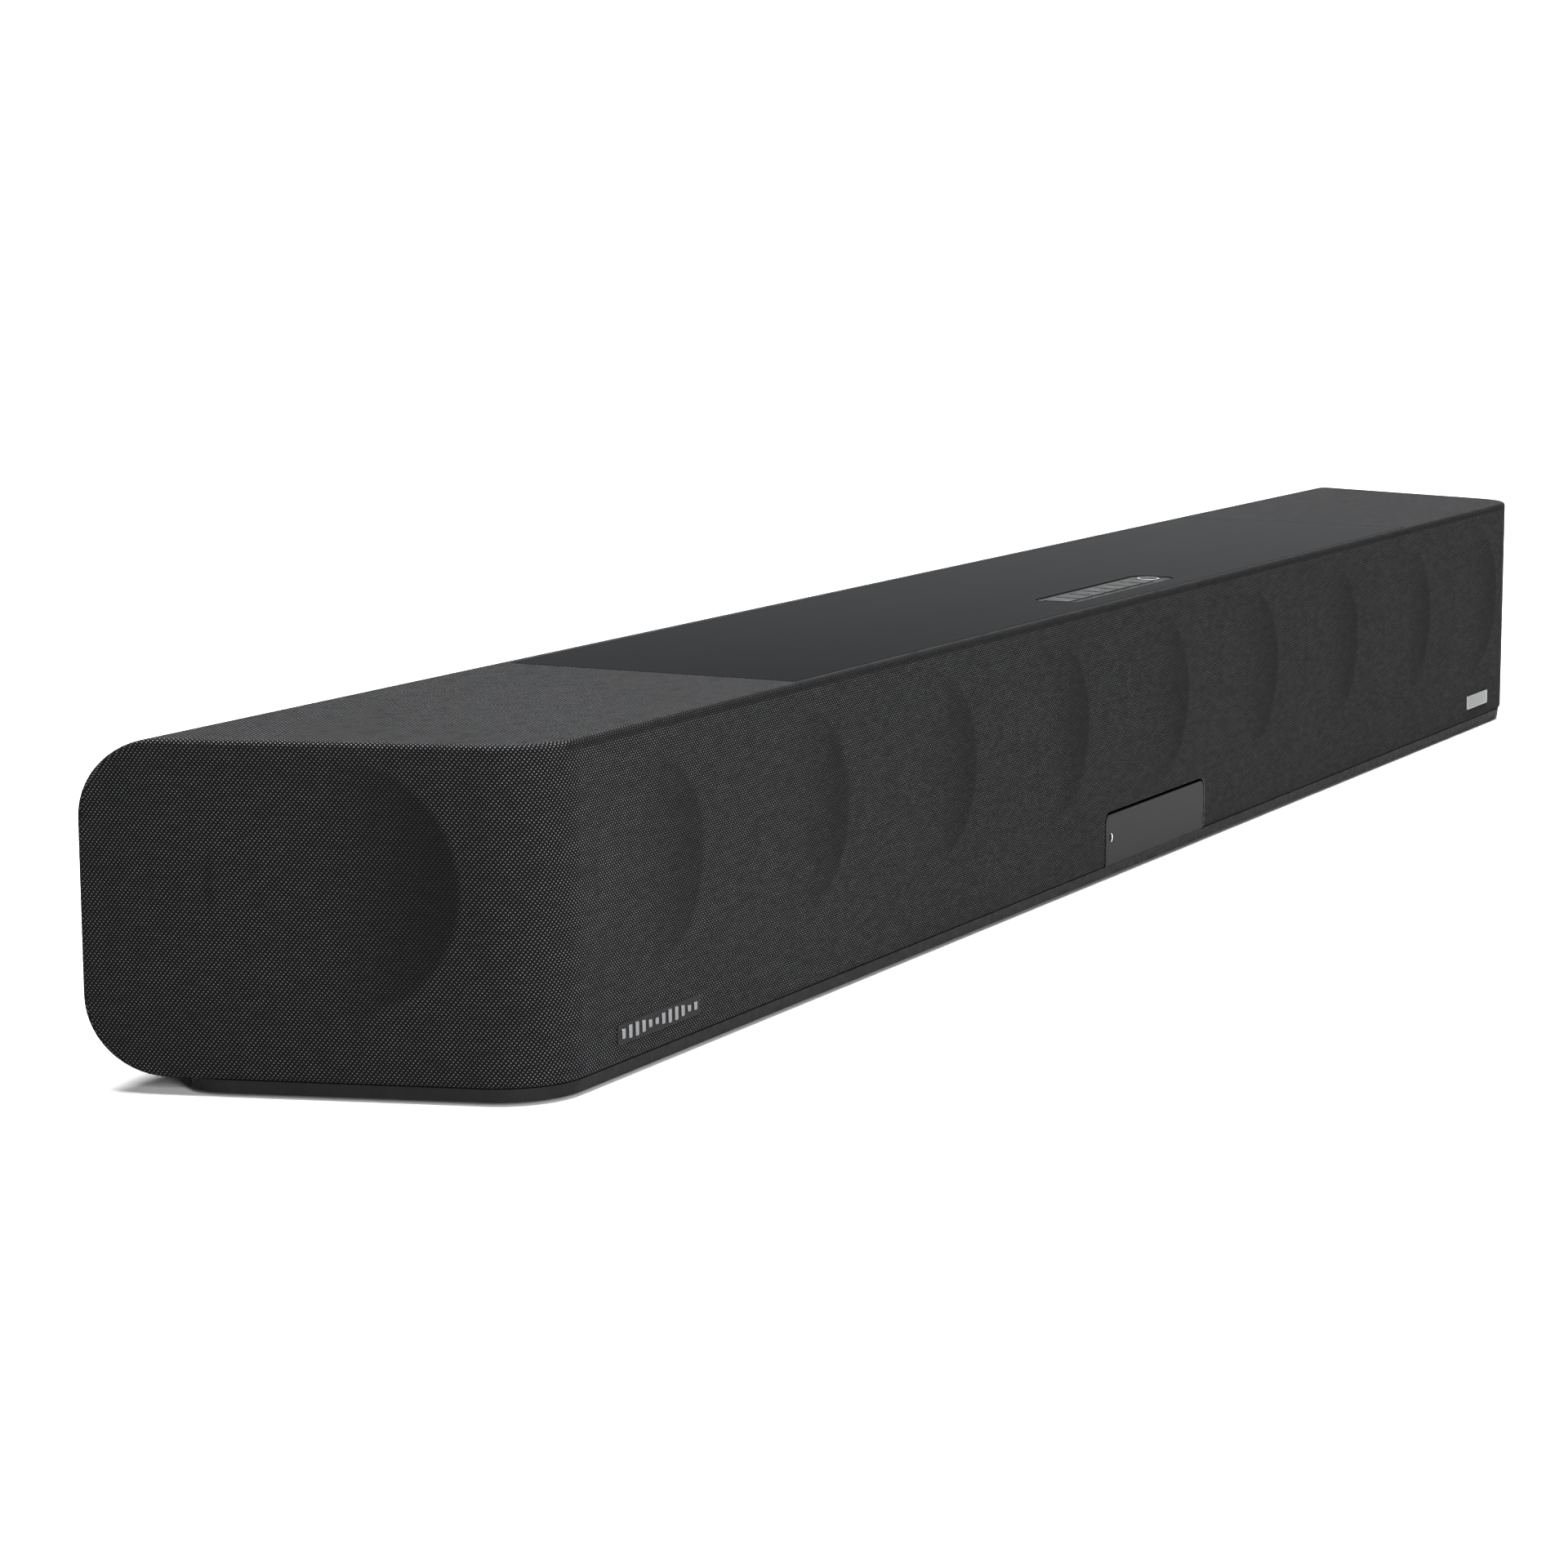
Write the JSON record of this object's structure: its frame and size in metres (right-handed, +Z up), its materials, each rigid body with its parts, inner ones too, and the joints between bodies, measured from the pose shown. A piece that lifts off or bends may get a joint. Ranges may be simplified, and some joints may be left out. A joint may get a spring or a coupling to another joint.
{
  "type": "soundbar",
  "caption": "Long cloth-covered soundbar with raked ends, brushed top plate, keys, display window, hidden front, end and up-firing drivers and a rear socket recess.",
  "frame": {"origin": "on the floor under the middle of the bar, the centre of its bounding box's bottom face", "axes": "+X along the bar, to the right of someone facing its front; the front faces -Y; +Z up"},
  "size_m": [1.265, 0.171, 0.135],
  "materials": {
    "casing_plastic": "fine matt texture",
    "inner_plastic": "matt moulded",
    "tweeter_plastic": "matt moulded faceplate round a satin dome",
    "grille_cloth": "fine black knit with light grey threads",
    "top_metal": "dark anodised, brushed along the bar",
    "panel": "satin",
    "key": "satin",
    "window": "satin tinted, opaque while the display is off",
    "lens": "white translucent",
    "badge": "bright satin",
    "rubber": "matt",
    "screw_steel": "plated",
    "driver_metal": "stamped, painted black",
    "paper": "coated paper",
    "circuit_board": "green solder mask",
    "heat_sink": "extruded, satin",
    "socket_metal": "plated shell"
  },
  "bodies": {
    "soundbar": {"base_plate": "casing_plastic", "rear_cover": "casing_plastic", "connector_bay": "casing_plastic", "cabinet": "inner_plastic", "front_baffle": "inner_plastic", "grille_frame": "inner_plastic", "grille_cloth": "grille_cloth", "top_plate": "top_metal", "foot_front_left": "rubber", "foot_front_right": "rubber", "foot_rear_left": "rubber", "foot_rear_right": "rubber", "case_screw_front_left": "screw_steel", "case_screw_front_right": "screw_steel", "case_screw_rear_left": "screw_steel", "case_screw_rear_right": "screw_steel", "control_panel": "panel", "keypad_board": "circuit_board", "display_window": "window", "display_module": "inner_plastic", "indicator_lens": "lens", "badge_left": "badge", "badge_right": "badge", "woofer_1": "driver_metal", "woofer_2": "driver_metal", "woofer_3": "driver_metal", "woofer_4": "driver_metal", "woofer_5": "driver_metal", "woofer_6": "driver_metal", "front_tweeter_left": "tweeter_plastic", "front_tweeter_centre": "tweeter_plastic", "front_tweeter_right": "tweeter_plastic", "side_tweeter_left": "tweeter_plastic", "side_tweeter_right": "tweeter_plastic", "height_driver_left": "driver_metal", "height_driver_right": "driver_metal", "main_board": "circuit_board", "amplifier_board": "circuit_board", "power_supply_board": "circuit_board", "heat_sink": "heat_sink", "mains_inlet": "inner_plastic", "video_sockets": "socket_metal", "optical_socket": "inner_plastic", "ethernet_socket": "socket_metal"},
    "key_power_body": {"key_power": "key"},
    "key_source_body": {"key_source": "key"},
    "key_wireless_body": {"key_wireless": "key"},
    "key_mute_body": {"key_mute": "key"},
    "key_mode_body": {"key_mode": "key"},
    "key_volume_down_body": {"key_volume_down": "key"},
    "key_volume_up_body": {"key_volume_up": "key"},
    "ring_button_body": {"ring_button": "key"},
    "woofer_cone_1_body": {"woofer_cone_1": "paper"},
    "woofer_cone_2_body": {"woofer_cone_2": "paper"},
    "woofer_cone_3_body": {"woofer_cone_3": "paper"},
    "woofer_cone_4_body": {"woofer_cone_4": "paper"},
    "woofer_cone_5_body": {"woofer_cone_5": "paper"},
    "woofer_cone_6_body": {"woofer_cone_6": "paper"},
    "height_cone_left_body": {"height_cone_left": "paper"},
    "height_cone_right_body": {"height_cone_right": "paper"}
  },
  "joints": [
    {"name": "key_power_press", "type": "slide", "parent": "soundbar", "child": "key_power_body", "axis": [0, 0, -1], "range_m": [0, 0.0006], "stiffness_N_per_m": 800, "springref_m": -0.0005},
    {"name": "key_source_press", "type": "slide", "parent": "soundbar", "child": "key_source_body", "axis": [0, 0, -1], "range_m": [0, 0.0006], "stiffness_N_per_m": 800, "springref_m": -0.0005},
    {"name": "key_wireless_press", "type": "slide", "parent": "soundbar", "child": "key_wireless_body", "axis": [0, 0, -1], "range_m": [0, 0.0006], "stiffness_N_per_m": 800, "springref_m": -0.0005},
    {"name": "key_mute_press", "type": "slide", "parent": "soundbar", "child": "key_mute_body", "axis": [0, 0, -1], "range_m": [0, 0.0006], "stiffness_N_per_m": 800, "springref_m": -0.0005},
    {"name": "key_mode_press", "type": "slide", "parent": "soundbar", "child": "key_mode_body", "axis": [0, 0, -1], "range_m": [0, 0.0006], "stiffness_N_per_m": 800, "springref_m": -0.0005},
    {"name": "key_volume_down_press", "type": "slide", "parent": "soundbar", "child": "key_volume_down_body", "axis": [0, 0, -1], "range_m": [0, 0.0006], "stiffness_N_per_m": 800, "springref_m": -0.0005},
    {"name": "key_volume_up_press", "type": "slide", "parent": "soundbar", "child": "key_volume_up_body", "axis": [0, 0, -1], "range_m": [0, 0.0006], "stiffness_N_per_m": 800, "springref_m": -0.0005},
    {"name": "ring_button_press", "type": "slide", "parent": "soundbar", "child": "ring_button_body", "axis": [0, 0, -1], "range_m": [0, 0.0006], "stiffness_N_per_m": 800, "springref_m": -0.0005},
    {"name": "woofer_cone_1_travel", "type": "slide", "parent": "soundbar", "child": "woofer_cone_1_body", "axis": [0, -1, 0], "range_m": [-0.004, 0.0025], "stiffness_N_per_m": 1500},
    {"name": "woofer_cone_2_travel", "type": "slide", "parent": "soundbar", "child": "woofer_cone_2_body", "axis": [0, -1, 0], "range_m": [-0.004, 0.0025], "stiffness_N_per_m": 1500},
    {"name": "woofer_cone_3_travel", "type": "slide", "parent": "soundbar", "child": "woofer_cone_3_body", "axis": [0, -1, 0], "range_m": [-0.004, 0.0025], "stiffness_N_per_m": 1500},
    {"name": "woofer_cone_4_travel", "type": "slide", "parent": "soundbar", "child": "woofer_cone_4_body", "axis": [0, -1, 0], "range_m": [-0.004, 0.0025], "stiffness_N_per_m": 1500},
    {"name": "woofer_cone_5_travel", "type": "slide", "parent": "soundbar", "child": "woofer_cone_5_body", "axis": [0, -1, 0], "range_m": [-0.004, 0.0025], "stiffness_N_per_m": 1500},
    {"name": "woofer_cone_6_travel", "type": "slide", "parent": "soundbar", "child": "woofer_cone_6_body", "axis": [0, -1, 0], "range_m": [-0.004, 0.0025], "stiffness_N_per_m": 1500},
    {"name": "height_cone_left_travel", "type": "slide", "parent": "soundbar", "child": "height_cone_left_body", "axis": [0, 0, 1], "range_m": [-0.0025, 0.0018], "stiffness_N_per_m": 1500},
    {"name": "height_cone_right_travel", "type": "slide", "parent": "soundbar", "child": "height_cone_right_body", "axis": [0, 0, 1], "range_m": [-0.0025, 0.0018], "stiffness_N_per_m": 1500}
  ]
}
